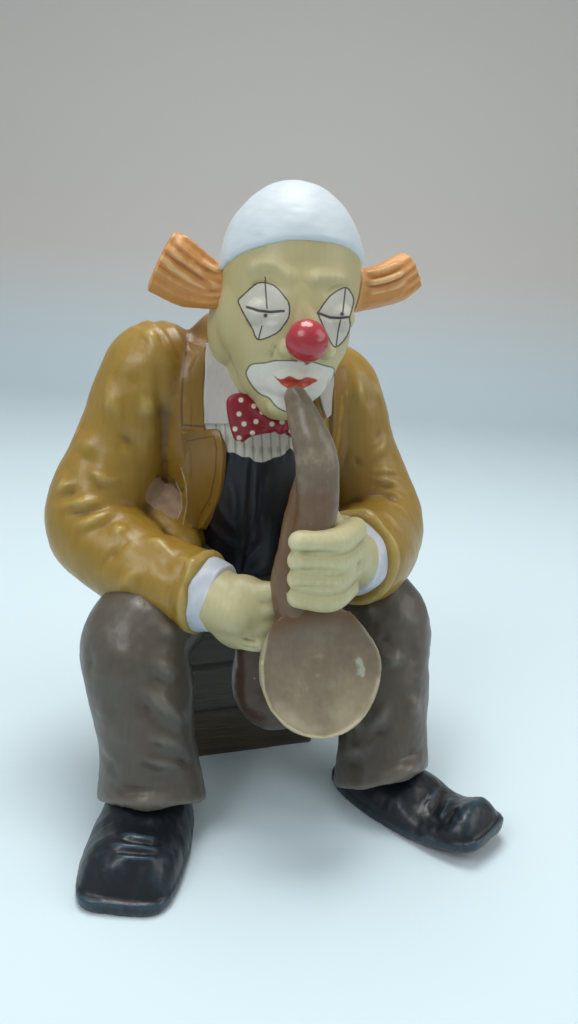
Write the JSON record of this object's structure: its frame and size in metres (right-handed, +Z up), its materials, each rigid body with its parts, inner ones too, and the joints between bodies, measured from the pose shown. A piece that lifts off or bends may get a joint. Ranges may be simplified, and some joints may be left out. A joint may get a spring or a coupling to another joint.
{
  "type": "clown figurine",
  "caption": "Seated clown ornament playing a saxophone on a plank crate, in mustard jacket, dark vest, bow tie, cap and orange side hair.",
  "frame": {"origin": "centre of the crate's underside, on the floor", "axes": "+X towards the clown's left hand, -Y forward where he faces, +Z up"},
  "size_m": [0.2077, 0.1981, 0.298],
  "materials": {
    "painted_casting": "hand-painted resin casting, satin"
  },
  "bodies": {
    "root": {"figurine": "painted_casting"}
  },
  "joints": []
}
